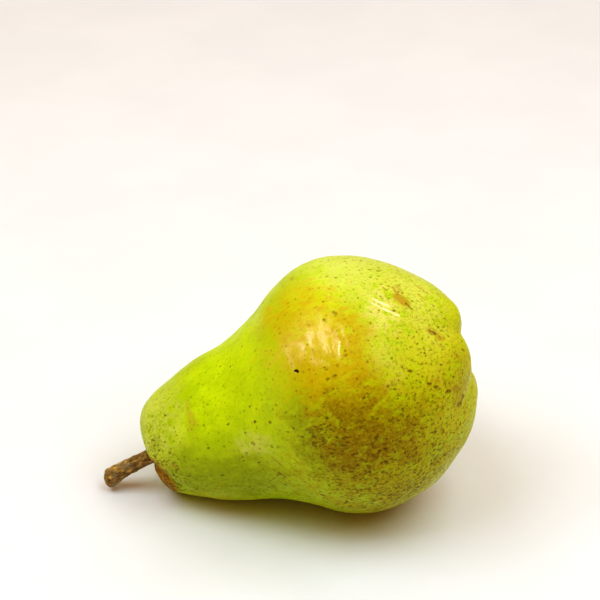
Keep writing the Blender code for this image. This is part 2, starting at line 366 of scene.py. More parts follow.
def roughen_bark(sculpt):
    """Raises the bark's lumps, ridges and knobs, outside the root that sits in the fruit."""
    sculpt.normal_update()
    moves = []
    for vertex in sculpt.verts:
        outside = smooth_step((BARK_START - vertex.co.x) / BARK_BLEND)
        height = 0.0
        for lump, size, stretch in BARK_LUMPS:
            place = Vector((vertex.co.x * stretch, vertex.co.y, vertex.co.z)) / size
            height += lump * noise.noise(place)
        for along, angle, reach, swell in KNOBS:
            turn = math.degrees(math.atan2(-vertex.co.y + KNOB_MIDDLE[0], vertex.co.z - KNOB_MIDDLE[1]))
            across = math.radians(angle_between(turn, angle)) * KNOB_RADIUS
            height += swell * bell(math.hypot(vertex.co.x - along, across), reach)
        moves.append(vertex.normal * height * outside)
    for vertex, move in zip(sculpt.verts, moves):
        vertex.co += move


def add_sepal(sculpt, index):
    """One dried sepal: a pointed, keeled blade that stands up from the disc and folds over the eye."""
    grid = bmesh.ops.create_grid(sculpt, x_segments=SEPAL_ROWS, y_segments=SEPAL_COLUMNS, size=0.5)
    line = smooth_line(SEPAL_LINE, SEPAL_STEPS)
    fold = SEPAL_FOLD * math.sin(2.4 * index)
    turn = Matrix.Rotation(math.tau * (index + 0.12 * math.sin(3.0 * index)) / SEPALS, 4, "X")
    for vertex in grid["verts"]:
        share = vertex.co.x + 0.5
        side = vertex.co.y
        place = share * (len(line) - 1)
        first = min(int(place), len(line) - 2)
        up, off, _ = line[first].lerp(line[first + 1], place - first)
        ragged = SEPAL_RAGGED * noise.noise(Vector((6.0 * share, 9.0 * side, 3.7 * index)))
        across = (side * (1.0 - SEPAL_TAPER * share * share) + ragged * share) * SEPAL_WIDTH
        keel = SEPAL_KEEL * (2.0 * side) ** 2
        curl = fold * share * share + 2.0 * ragged * share
        vertex.co = turn @ Vector((up + curl, across, off - keel + curl))
    faces = list({face for vertex in grid["verts"] for face in vertex.link_faces})
    bmesh.ops.recalc_face_normals(sculpt, faces=faces)
    bmesh.ops.solidify(sculpt, geom=faces, thickness=SEPAL_THICKNESS)


def add_stamen(sculpt, index):
    """One stub of a stamen, leaning out from the middle of the disc."""
    turn = Matrix.Rotation(math.tau * (index + 0.5) / STAMENS, 4, "X")
    foot = Matrix.Translation((0.5 * DISC_THICKNESS, 0.0, STAMEN_RING))
    lean = Matrix.Rotation(-STAMEN_LEAN, 4, "Y") @ Matrix.Translation((0.5 * STAMEN_LENGTH, 0.0, 0.0))
    stub = bmesh.ops.create_cone(
        sculpt,
        cap_ends=True,
        segments=STAMEN_SIDES,
        radius1=STAMEN_RADIUS,
        radius2=STAMEN_TIP * STAMEN_RADIUS,
        depth=STAMEN_LENGTH,
        matrix=turn @ foot @ lean @ Matrix.Rotation(math.pi / 2.0, 4, "Y"),
    )
    rims = {edge for vertex in stub["verts"] for edge in vertex.link_edges}
    bmesh.ops.bevel(
        sculpt,
        geom=list(rims),
        offset=STAMEN_EDGE,
        segments=1,
        profile=0.5,
        affect="EDGES",
        material=-1,
    )


def bearing_vector(bearing, height):
    """The direction to a light or camera: its bearing from the front towards +X, and its height."""
    turn = math.radians(bearing)
    rise = math.radians(height)
    return Vector((math.sin(turn) * math.cos(rise), -math.cos(turn) * math.cos(rise), math.sin(rise)))


def aimed(context, name, data, target, direction, distance):
    """An object with this data, at a distance from its target in this direction, and facing it."""
    obj = bpy.data.objects.new(name, data)
    obj.location = target + direction * distance
    obj.rotation_mode = "QUATERNION"
    obj.rotation_quaternion = direction.to_track_quat("Z", "Y")
    context.scene.collection.objects.link(obj)
    return obj


def add_floor(context, studio):
    """The floor, one wide flat sheet."""
    sculpt = bmesh.new()
    bmesh.ops.create_grid(sculpt, x_segments=1, y_segments=1, size=FLOOR_HALF)
    mesh = bpy.data.meshes.new("floor")
    sculpt.to_mesh(mesh)
    sculpt.free()
    mesh.materials.append(floor_finish(studio))
    floor = bpy.data.objects.new("floor", mesh)
    context.scene.collection.objects.link(floor)


def add_softbox(context, name, power, size, bearing, height):
    """One softbox, aimed at the pear."""
    light = bpy.data.lights.new(name, "AREA")
    light.shape = "RECTANGLE"
    light.size, light.size_y = size
    light.energy = power
    light.color = KEY_COLOUR
    aimed(context, name, light, Vector((0.0, 0.0, 0.0)), bearing_vector(bearing, height), LIGHT_DISTANCE)


def add_camera(context):
    """The camera, which looks down at the pear from the front."""
    camera = bpy.data.cameras.new("camera")
    camera.sensor_width = SENSOR_WIDTH
    camera.lens = LENS
    low, high = CAD_BOX
    target = Vector(((low.x + high.x) / 2.0, 0.0, 0.0)) + CAMERA_AIM
    eye = aimed(context, "camera", camera, target, bearing_vector(0.0, CAMERA_HEIGHT), CAMERA_DISTANCE)
    context.scene.camera = eye


class Value:
    """An output of a shader node. Arithmetic on it adds the Math nodes that work it out."""

    def __init__(self, finish, socket):
        self.finish = finish
        self.socket = socket

    def also(self, output):
        """Another output of the same node."""
        return Value(self.finish, self.socket.node.outputs[output])

    def math(self, operation, first, second):
        """One Math node."""
        return self.finish.node("ShaderNodeMath", {"operation": operation}, {0: first, 1: second})

    def __add__(self, other):
        return self.math("ADD", self, other)

    def __sub__(self, other):
        return self.math("SUBTRACT", self, other)

    def __mul__(self, other):
        return self.math("MULTIPLY", self, other)

    def __truediv__(self, other):
        return self.math("DIVIDE", self, other)

    def __lt__(self, other):
        return self.math("LESS_THAN", self, other)


class Finish:
    """A material in the making: its node tree, and the ways in which nodes are added to it."""

    def __init__(self, name):
        self.material = bpy.data.materials.new(name)
        self.material.use_nodes = True
        self.tree = self.material.node_tree
        self.shader = self.tree.nodes["Principled BSDF"]

    def feed(self, node, inputs):
        """Gives a node's sockets their values or links."""
        for key, value in inputs.items():
            if isinstance(value, Value):
                self.tree.links.new(value.socket, node.inputs[key])
            else:
                node.inputs[key].default_value = value

    def node(self, kind, settings, inputs, output=0):
        """Adds a node of this kind: its settings first, then the values or links of its sockets."""
        node = self.tree.nodes.new(kind)
        for setting, value in settings.items():
            setattr(node, setting, value)
        self.feed(node, inputs)
        return Value(self, node.outputs[output])

    def place(self):
        """The place in the pear's own frame, in millimetres."""
        point = self.node("ShaderNodeTexCoord", {}, {}, "Object")
        lie = {
            "Vector": point,
            "Location": (SHOULDER_PLACE * MM, 0.0, SHOULDER_HEIGHT * MM),
            "Rotation": (0.0, -math.radians(LYING_TILT), 0.0),
            "Scale": (MM, MM, MM),
        }
        return self.node("ShaderNodeMapping", {"vector_type": "TEXTURE"}, lie)

    def vector(self, operation, first, second, output="Vector"):
        """One Vector Math node."""
        return self.node("ShaderNodeVectorMath", {"operation": operation}, {0: first, 1: second}, output)

    def scaled(self, vector, factor):
        """The vector times a number."""
        return self.node("ShaderNodeVectorMath", {"operation": "SCALE"}, {0: vector, "Scale": factor})

    def mix(self, share, first, second, blend="MIX"):
        """The first colour where the share is 0, the second where it is 1."""
        settings = {"data_type": "RGBA", "blend_type": blend, "clamp_factor": True}
        return self.node("ShaderNodeMix", settings, {0: share, 6: first, 7: second}, 2)

    def cloud(self, place, size, detail=2.0, rough=0.5):
        """A soft noise about 0.5, with lumps of this size in millimetres."""
        inputs = {"Vector": place, "Scale": 1.0 / size, "Detail": detail, "Roughness": rough}
        return self.node("ShaderNodeTexNoise", {}, inputs, "Fac")

    def stir(self, place, size, reach):
        """The place, moved about by a noise of this size, to roughen the edges of what is drawn on it."""
        noises = self.cloud(place, size).also("Color")
        away = self.vector("SUBTRACT", noises, (0.5, 0.5, 0.5))
        return self.vector("ADD", place, self.vector("MULTIPLY", away, (reach, reach, reach)))

    def rise(self, value, low, high):
        """Eases from 0 at low to 1 at high; low may lie above high."""
        settings = {"interpolation_type": "SMOOTHSTEP"}
        inputs = {"Value": value, "From Min": low, "From Max": high}
        return self.node("ShaderNodeMapRange", settings, inputs)

    def patch(self, place, middle, reach):
        """A soft round patch: 1 in the middle, fading away over its reach along, across and up."""
        away = self.vector("DIVIDE", self.vector("SUBTRACT", place, middle), reach)
        square = self.vector("DOT_PRODUCT", away, away, "Value")
        return self.node("ShaderNodeMath", {"operation": "EXPONENT"}, {0: square * -1.0})

    def stroke(self, place, start, end, width):
        """A line between two places on the skin: 1 along its middle, fading away over its width."""
        foot = Vector(skin_place(*start))
        outward = Vector((0.0, foot.y, foot.z)).normalized()
        run = Vector(skin_place(*end)) - foot
        run -= 0.9 * run.dot(outward) * outward
        away = self.vector("SUBTRACT", place, tuple(foot))
        depth = self.vector("DOT_PRODUCT", away, tuple(0.9 * outward), "Value")
        away = self.vector("SUBTRACT", away, self.scaled(tuple(outward), depth))
        share = self.vector("DOT_PRODUCT", away, tuple(run / run.length_squared), "Value")
        nearest = self.scaled(tuple(run), self.node("ShaderNodeClamp", {}, {"Value": share}))
        return self.rise(self.vector("DISTANCE", away, nearest, "Value") / width, 1.1, 0.3)

    def specks(self, place, size, radius, chance):
        """Specks strewn about, one in each cell of this size that draws a number below the chance."""
        inputs = {"Vector": place, "Scale": 1.0 / size, "Randomness": 1.0}
        cell = self.node("ShaderNodeTexVoronoi", {}, inputs, "Distance")
        draws = self.node("ShaderNodeSeparateColor", {}, {0: cell.also("Color")}, "Red")
        reach = (draws.also("Green") * 0.6 + 0.4) * (radius / size)
        speck = self.rise(cell / reach, 1.1, 0.2) * (draws.also("Blue") * 0.7 + 0.3)
        return speck * (draws < chance)

    def bump(self, height, distance=MM):
        """The normal of a relief of this height, in millimetres unless the distance says otherwise."""
        return self.node("ShaderNodeBump", {}, {"Height": height, "Distance": distance, "Strength": 1.0})

    def finished(self, inputs):
        """The material, with these inputs to its shader."""
        self.feed(self.shader, inputs)
        return self.material


def skin_place(along, angle):
    """A place on the skin, from its place along the core and its angle round it."""
    outer = OUTLINE[2:-2]
    for (first, near), (second, far) in zip(outer, outer[1:]):
        if along <= second:
            break
    share = min(1.0, max(0.0, (along - first) / (second - first)))
    turn = math.radians(angle)
    outward = Vector((0.0, -math.sin(turn), math.cos(turn)))
    off = near + (far - near) * share + growth(along, angle) + outward.dot(middle_offset(along))
    return tuple(Vector((along, 0.0, 0.0)) + off * outward)


# Patches of the skin, painted one over another, each (colour, along the core, angle round it,
# reach along, reach across, strength, how far the mottle breaks it up).
# The pale patches are partly painted sheen, and the highlight and glint ones are painted highlight.
PATCHES = (
    ("lemon", 38.0, 30.0, 15.0, 26.0, 0.55, 0.6),
    ("lemon", 42.0, 200.0, 14.0, 20.0, 0.6, 0.6),
    ("pale", 7.0, 25.0, 11.0, 14.0, 0.6, 1.2),
    # painted sheen over the top of the belly, where the softboxes' light glances off
    ("pale", 78.0, -12.0, 20.0, 24.0, 0.9, 1.0),
    ("moss", 24.0, 103.0, 29.0, 12.0, 1.0, 0.8),
    ("straw", 15.0, 132.0, 12.0, 7.0, 0.8, 0.8),
    ("pale", 35.0, 77.0, 8.0, 4.0, 0.7, 0.9),
    ("moss", 14.0, 22.0, 7.0, 5.0, 0.22, 1.6),
    ("moss", 5.0, 48.0, 3.0, 3.0, 0.6, 1.6),
    ("tan", 19.9, 42.0, 1.6, 6.0, 0.35, 1.5),
    ("moss", 48.0, 250.0, 16.0, 14.0, 0.7, 1.0),
    ("moss", 20.0, 300.0, 12.0, 10.0, 0.5, 1.0),
    ("gold", 70.0, 118.0, 30.0, 38.0, 1.0, 0.8),
    ("gold", 64.0, 222.0, 18.0, 20.0, 0.9, 1.0),
    ("gold", 84.0, 290.0, 12.0, 16.0, 0.6, 1.0),
    ("straw", 72.0, 255.0, 18.0, 18.0, 0.7, 1.3),
    ("moss", 30.0, 215.0, 18.0, 12.0, 0.8, 1.4),
    ("pale", 6.0, 300.0, 9.0, 14.0, 0.7, 1.0),
    ("straw", 88.0, 40.0, 11.0, 28.0, 0.75, 1.0),
    ("straw", 91.0, 112.0, 8.0, 24.0, 0.6, 1.0),
    ("gold", 82.0, 82.0, 9.0, 7.0, 0.6, 1.0),
    ("moss", 52.0, 68.0, 4.5, 12.0, 0.9, 1.0),
    ("moss", 13.0, 82.0, 9.0, 6.0, 0.85, 0.8),
    ("russet", 3.0, 87.0, 4.0, 4.0, 0.85, 1.4),
    ("blush", 59.0, 14.0, 14.0, 10.0, 0.75, 0.7),
    ("blush", 55.0, 37.0, 5.0, 11.0, 0.6, 0.6),
    ("blush", 63.0, 38.0, 14.0, 15.0, 1.0, 0.4),
    ("blush", 58.0, 222.0, 10.0, 11.0, 0.6, 1.2),
    # painted highlight: the left softbox's soft reflection on the cheek
    ("bloom", 60.0, 35.0, 12.0, 9.0, 0.25, 1.2),
    ("amber", 66.0, 53.0, 16.0, 8.0, 0.9, 0.7),
    ("amber", 72.0, 36.0, 7.0, 8.0, 0.9, 1.0),
    ("amber", 55.0, 20.0, 12.0, 9.0, 0.4, 1.6),
    ("pale", 75.0, 143.0, 20.0, 8.0, 0.75, 0.8),
    ("glow", 50.0, 183.0, 44.0, 15.0, 1.0, 0.3),
    ("ochre", 67.0, 66.0, 14.0, 7.0, 0.8, 1.2),
    ("olive", 65.0, 83.0, 18.0, 11.0, 1.0, 0.8),
    # painted sheen: a whitish streak of glancing light
    ("pale", 79.0, 52.0, 4.0, 6.0, 0.35, 1.6),
    # painted highlight: a patch of the right softbox's glint
    ("wax", 81.0, 26.0, 4.5, 7.0, 0.25, 2.0),
    ("olive", 69.0, 94.0, 16.0, 9.0, 0.7, 1.0),
    ("moss", 49.5, 82.0, 3.5, 8.0, 0.7, 1.2),
    ("pale", 90.0, 4.0, 7.0, 18.0, 0.5, 1.3),
    ("moss", 18.0, -9.0, 10.0, 7.0, 0.4, 1.2),
    ("lemon", 51.0, 49.0, 4.0, 6.0, 0.4, 1.2),
    ("blush", 60.0, 54.0, 7.0, 5.0, 0.45, 1.2),
    ("olive", 53.0, 79.0, 6.0, 5.0, 0.35, 1.2),
    ("olive", 92.0, 94.0, 6.0, 9.0, 0.4, 1.4),
)

# Where a painted highlight, the softboxes' reflection on the cheek, is laid on in streaks round the
# core, each (colour, along, angle, reach along, reach across, strength).
HIGHLIGHT_STREAKS = (
    ("bloom", 58.0, 40.0, 8.0, 8.0, 0.55),
    ("bloom", 65.0, 38.0, 7.0, 8.0, 0.7),
    ("bloom", 67.0, 26.0, 8.0, 4.0, 0.25),
    # painted glints: the brightest spots of the cheek's highlight
    ("wax", 63.0, 42.0, 3.0, 3.5, 0.45),
    ("wax", 60.0, 36.0, 2.5, 2.5, 0.35),
)

# Where the skin is freckled, each (along, angle, reach along, reach across, fine dots, flecks).
FRECKLED = (
    (60.0, 28.0, 15.0, 16.0, -0.3, 0.0),
    (66.0, 106.0, 28.0, 28.0, 0.8, 1.0),
    (66.0, 125.0, 20.0, 9.0, 0.2, 0.7),
    (56.0, 77.0, 9.0, 6.0, 0.1, 0.4),
    (90.0, 42.0, 14.0, 32.0, 1.0, 0.4),
    (76.0, 0.0, 16.0, 26.0, 0.7, 0.1),
    (3.0, 92.0, 8.0, 12.0, 0.8, 1.2),
    (24.0, 110.0, 22.0, 9.0, 0.6, 0.5),
    (7.0, 40.0, 9.0, 20.0, 0.5, 0.4),
    (84.0, 190.0, 14.0, 28.0, 0.9, 0.7),
    (62.0, 230.0, 22.0, 34.0, 0.8, 0.9),
    (28.0, 240.0, 22.0, 22.0, 0.4, 0.5),
    (10.0, 220.0, 10.0, 16.0, 0.5, 0.5),
    (84.0, 290.0, 12.0, 26.0, 0.8, 0.4),
)

# Single marks on the skin: scars, scratches and painted glints, thin painted highlights of the
# softboxes, each (colour, along the core and angle round it at one end, the same at the other end,
# half width, strength).
MARKS = (
    ("soil", (55.1, 45.9), (55.7, 46.6), 0.48, 1.8),
    ("russet", (85.8, 17.5), (87.0, 22.0), 1.8, 0.8),
    ("ochre", (85.7, 17.6), (86.8, 21.6), 1.3, 0.7),
    ("tan", (85.9, 18.6), (86.6, 20.8), 0.9, 0.55),
    ("cork", (87.2, 22.5), (88.3, 27.0), 0.4, 0.7),
    ("russet", (84.9, 9.5), (85.7, 15.5), 0.5, 0.75),
    ("russet", (86.0, 9.0), (86.4, 11.5), 0.5, 0.6),
    ("russet", (90.4, 3.0), (91.8, 7.0), 0.6, 0.7),
    ("russet", (90.6, 13.0), (91.9, 18.5), 0.5, 0.7),
    ("russet", (58.6, -6.5), (59.0, -4.5), 0.9, 0.6),
    ("cork", (69.4, 26.3), (69.8, 27.3), 0.7, 0.6),
    ("cork", (66.5, 28.8), (66.8, 29.4), 0.55, 0.7),
    ("russet", (90.9, 42.5), (92.0, 46.0), 1.3, 0.5),
    ("cork", (90.7, 42.6), (91.2, 43.8), 0.4, 0.9),
    ("cork", (91.5, 44.2), (91.9, 46.4), 0.5, 0.9),
    ("cork", (90.9, 45.6), (91.2, 46.4), 0.35, 0.8),
    ("russet", (92.4, 49.0), (93.0, 51.0), 1.1, 0.6),
    ("soil", (94.6, 63.5), (95.0, 64.5), 0.7, 0.9),
    ("russet", (94.9, 67.0), (95.6, 71.0), 0.8, 0.7),
    ("cork", (89.6, 85.8), (90.2, 87.0), 0.7, 0.75),
    ("russet", (91.4, 87.5), (92.2, 89.0), 0.8, 0.7),
    ("cork", (90.6, 102.0), (91.2, 103.5), 0.75, 0.7),
    ("russet", (88.3, 75.0), (88.9, 76.5), 0.6, 0.55),
    ("cork", (34.6, 73.2), (34.9, 74.0), 0.6, 0.7),
    ("russet", (8.2, 77.0), (8.9, 79.5), 0.9, 0.6),
    ("cork", (59.4, 82.0), (60.6, 83.6), 0.7, 0.6),
    ("cork", (55.6, 77.2), (56.4, 78.8), 0.6, 0.6),
    ("cork", (57.6, 80.8), (58.3, 81.8), 0.55, 0.6),
    ("cork", (53.1, 73.0), (53.6, 74.0), 0.55, 0.5),
    ("cork", (67.2, 88.4), (67.8, 89.6), 0.6, 0.6),
    ("cork", (69.6, 91.8), (70.0, 92.6), 0.55, 0.6),
    ("cork", (53.4, 101.6), (54.4, 102.4), 0.7, 0.45),
    ("cork", (64.0, 120.5), (66.8, 125.5), 0.6, 0.6),
    # painted highlights: thin glints of the softboxes on the cheek
    ("wax", (79.8, 20.4), (81.6, 22.8), 0.4, 0.6),
    ("wax", (80.9, 22.4), (82.9, 24.8), 0.55, 0.7),
    ("wax", (79.2, 22.8), (81.5, 26.6), 0.3, 0.8),
    ("wax", (81.5, 26.6), (84.6, 31.2), 0.42, 1.0),
    ("wax", (68.9, 41.0), (68.4, 43.2), 0.4, 0.8),
    ("wax", (68.2, 43.6), (67.9, 46.0), 0.3, 0.9),
    ("olive", (38.6, 84.5), (40.3, 91.0), 0.35, 0.7),
    ("cork", (38.2, 95.5), (39.4, 99.0), 0.5, 0.5),
    ("cork", (37.0, 98.5), (38.4, 96.0), 0.4, 0.45),
    ("tan", (92.2, 8.0), (94.2, 22.0), 0.4, 0.5),
    ("tan", (90.5, 52.0), (93.5, 60.0), 0.4, 0.5),
)

# Freckles that stand out by themselves, strewn over the lower side and the back, as (how many, nearest
# and furthest along the core, angles round it that they lie between).
LONE_FRECKLES = (34, 44.0, 92.0, 52.0, 310.0)
FRECKLE_SEED = 4


class Skin(Finish):
    """The pear's skin, painted in layers, each over the colour that the ones before it left."""

    def __init__(self, colours):
        super().__init__("pear_skin")
        self.tones = {name: (*getattr(colours, name), 1.0) for name in COLOURS}
        self.on_pear = self.place()
        self.stirred = self.stir(self.stir(self.on_pear, 12.0, 10.0), 3.0, 4.0)
        streaked = self.vector("MULTIPLY", self.stir(self.on_pear, 5.0, 4.0), (0.6, 1.0, 1.0))
        self.drift = self.cloud(self.on_pear, 8.0, 3.0)
        self.mottle = self.cloud(streaked, 2.6, 5.0, 0.62)
        self.fine = self.cloud(self.stir(self.on_pear, 1.5, 1.0), 0.9, 3.0, 0.6)
        self.uneven = (self.drift - 0.5) + (self.mottle - 0.5) * 3.5 + (self.fine - 0.5)
        share = (self.drift - 0.5) * 4.0 + (self.mottle - 0.5) * 3.0 + 0.4
        self.colour = self.mix(share, self.tones["lime"], self.tones["lemon"])

    def paint(self, share, tone, blend="MIX"):
        """Lays a tone over the colour so far, as far as the share says."""
        self.colour = self.mix(share, self.colour, self.tones[tone], blend)

    def spot(self, along, angle, reach_along, reach_across):
        """A soft patch about a place on the skin."""
        reach = (reach_along, reach_across, reach_across)
        return self.patch(self.stirred, skin_place(along, angle), reach)

    def ripen(self):
        """Paints the patches in which the skin is riper, duller or paler."""
        for tone, along, angle, reach_along, reach_across, strength, broken in PATCHES:
            patch = self.spot(along, angle, reach_along, reach_across)
            share = self.rise(patch * (self.uneven * broken + 1.0), 0.05, 1.05)
            self.paint(share * strength, tone)

    def warm_cheek_and_highlight(self):
        """Mottles the cheek, and paints the softboxes' highlight on it, broken into streaks round the
        core.
        """
        cheek = self.spot(62.0, 30.0, 15.0, 20.0)
        self.paint(cheek * self.rise(self.mottle + self.fine * 0.5, 0.7, 0.88) * 0.55, "amber")
        self.paint(cheek * self.rise(self.mottle + self.drift * 0.5, 0.76, 0.6) * 0.6, "straw")
        # The painted highlight, broken into streaks by a stretched noise.
        highlight_grain = self.vector("MULTIPLY", self.stir(self.on_pear, 4.0, 3.0), (1.2, 0.4, 0.4))
        highlight_grain = self.cloud(highlight_grain, 2.2, 3.0, 0.65)
        for tone, along, angle, reach_along, reach_across, strength in HIGHLIGHT_STREAKS:
            patch = self.spot(along, angle, reach_along, reach_across)
            share = self.rise(patch * ((highlight_grain - 0.5) * 5.0 + 1.0), 0.5, 1.6)
            self.paint(share * strength, tone)

    def freckle(self):
        """Paints the fine grain, pores, fine dots, blotches and flecks."""
        dusty = 0.1
        flecked = 0.0
        for along, angle, reach_along, reach_across, dots, flecks in FRECKLED:
            patch = self.spot(along, angle, reach_along, reach_across)
            dusty = patch * dots + dusty
            flecked = patch * flecks + flecked
        self.paint(self.rise(self.fine, 0.5, 0.66) * (flecked * 0.25 + 0.08), "straw")
        self.paint(self.rise(self.fine, 0.52, 0.36) * (flecked * 0.3 + 0.1), "shadow", "MULTIPLY")
        self.wobbled = self.stir(self.on_pear, 0.7, 0.45)
        stretched = self.vector("MULTIPLY", self.wobbled, (0.62, 1.0, 1.0))
        crowds = self.rise(self.cloud(self.on_pear, 4.0, 2.0), 0.35, 0.6)
        self.pores = self.specks(self.wobbled, 1.5, 0.54, 0.9)
        dust = self.specks(self.wobbled, 0.7, 0.32, dusty * 0.9)
        self.flecks = self.specks(stretched, 1.3, 0.62, flecked * crowds * 0.8)
        blotches = self.rise(self.cloud(stretched, 0.8, 2.0) + flecked * 0.05, 0.6, 0.7)
        blotches = blotches * self.rise(flecked, 0.1, 1.0)
        self.paint(dust * 0.75, "dust", "MULTIPLY")
        self.paint(self.pores * (dusty * 0.3 + 0.75), "shadow", "MULTIPLY")
        self.paint(blotches * 0.8, "shadow", "MULTIPLY")
        self.paint(self.flecks * 0.85, "cork")

    def mark(self):
        """Paints the single marks, among them painted glints, and the freckles that stand out by
        themselves.
        """
        worn = self.rise(self.fine, 0.36, 0.56) * 0.5 + 0.5
        for tone, start, end, width, strength in MARKS:
            self.paint(self.stroke(self.wobbled, start, end, width) * worn * strength, tone)
        count, nearest, furthest, first_angle, last_angle = LONE_FRECKLES
        draw = random.Random(FRECKLE_SEED)
        for _ in range(count):
            along = draw.uniform(nearest, furthest)
            angle = draw.uniform(first_angle, last_angle)
            freckle = self.stroke(self.wobbled, (along, angle), (along + 0.5, angle + 0.9), 0.55)
            self.paint(freckle * worn * 0.8, "cork")

    def russet_ends(self):
        """Paints the corky skin in the stem's cavity, on the lobe beside it and in the eye."""
        edge = self.stir(self.stir(self.on_pear, 4.0, 4.0), 0.9, 1.5)
        cavity = self.rise(self.patch(edge, (1.0, 0.0, 0.0), (5.0, 7.0, 7.0)), 0.25, 0.6)
        lobe = self.rise(self.patch(edge, skin_place(0.5, 112.0), (4.5, 9.0, 8.0)), 0.2, 0.5)
        rim = self.patch(edge, (97.0, 0.0, 0.0), (2.2, 14.0, 14.0))
        basin = self.rise(self.patch(edge, (90.0, 0.0, 0.0), (5.0, 6.5, 6.5)), 0.2, 0.6)
        self.ends = cavity + lobe
        self.paint(self.ends * 0.9, "russet")
        self.paint(self.ends * self.rise(self.fine, 0.55, 0.42) * 0.8, "cork")
        self.paint(rim * 0.6, "tan")
        self.paint(basin * 0.8, "cork")

    def inputs(self):
        """What the shader is given once the skin is painted."""
        grain = self.cloud(self.on_pear, 0.5, 3.0, 0.6)
        relief = grain * 0.03 + self.mottle * 0.2 - self.pores * 0.03
        relief = relief + self.flecks * 0.04 + self.ends * grain * 0.2
        return {
            "Base Color": self.colour,
            "Roughness": (self.flecks + self.ends) * 0.3 + self.rise(self.mottle, 0.4, 0.6) * 0.2 + 0.3,
            "Normal": self.bump(relief),
            "Specular IOR Level": 0.18,
            "Specular Tint": (1.0, 0.93, 0.6, 1.0),
            "Subsurface Weight": 0.1,
            "Subsurface Radius": (1.0, 0.6, 0.1),
            "Subsurface Scale": 1.5 * MM,
        }


def skin_finish(colours):
    """The pear's skin: ripening colours, painted highlights, freckles, marks, russet ends and waxy grain.
    """
    skin = Skin(colours)
    skin.ripen()
    skin.warm_cheek_and_highlight()
    skin.freckle()
    skin.mark()
    skin.russet_ends()
    return skin.finished(skin.inputs())


def bark_finish(colours):
    """The stem's bark: brown, with tan scales, dark hollows and a grey, weathered end."""
    finish = Finish("pear_bark")
    place = finish.place()
    stretched = finish.vector("MULTIPLY", place, (0.45, 1.0, 1.0))
    scales = finish.cloud(stretched, 0.9, 4.0, 0.7)
    lumps = finish.cloud(stretched, 2.6, 3.0)
    weathered = finish.cloud(place, 4.0, 2.0)
    bark = finish.mix(finish.rise(lumps, 0.4, 0.62), (*colours.bark, 1.0), (*colours.bark_light, 1.0))
    bark = finish.mix(finish.rise(weathered, 0.5, 0.62) * 0.8, bark, (*colours.bark_grey, 1.0))
    bark = finish.mix(finish.rise(scales, 0.53, 0.63) * 0.85, bark, (*colours.bark_scale, 1.0))
    bark = finish.mix(finish.rise(scales, 0.44, 0.34) * 0.9, bark, (*colours.bark_dark, 1.0))
    relief = scales * 0.5 + finish.cloud(place, 0.35, 2.0) * 0.12
    inputs = {
        "Base Color": bark,
        "Roughness": scales * -0.3 + 0.85,
        "Normal": finish.bump(relief),
    }
    return finish.finished(inputs)


def sepal_finish(colours):
    """The calyx's dried leaves: near black, greying towards brown on their tips."""
    finish = Finish("pear_dried_sepal")
    place = finish.place()
    veins = finish.cloud(finish.vector("MULTIPLY", place, (0.4, 1.0, 1.0)), 0.5, 3.0, 0.6)
    height = finish.node("ShaderNodeSeparateXYZ", {}, {0: place}, "X")
    tips = finish.rise(height + veins * 2.5, 92.4, 93.6)
    leaf = finish.mix(finish.rise(veins, 0.4, 0.65), (*colours.sepal, 1.0), (*colours.sepal_light, 1.0))
    leaf = finish.mix(tips * 0.5, leaf, (*colours.bark_grey, 1.0))
    inputs = {
        "Base Color": leaf,
        "Roughness": veins * 0.2 + 0.7,
        "Normal": finish.bump(veins, 0.2 * MM),
    }
    return finish.finished(inputs)


def floor_finish(studio):
    """The floor's pale, smooth sheet: faintly uneven, and painted cooler far off, beyond the softboxes'
    light, to offset the warm fill.
    """
    finish = Finish("pale_floor")
    place = finish.node("ShaderNodeTexCoord", {}, {}, "Object")
    cloud = finish.cloud(place, 0.05, 3.0)
    away = finish.node("ShaderNodeVectorMath", {"operation": "LENGTH"}, {0: place}, "Value")
    # painted cooler with distance, to offset the warm fill far off
    pale = finish.mix(finish.rise(away, 0.1, 0.6), (*studio.floor_colour, 1.0), FAR_FLOOR)
    inputs = {
        "Base Color": finish.mix(finish.rise(cloud, 0.35, 0.65) * 0.03, pale, (0.0, 0.0, 0.0, 1.0)),
        "Roughness": cloud * 0.2 + 0.5,
    }
    return finish.finished(inputs)


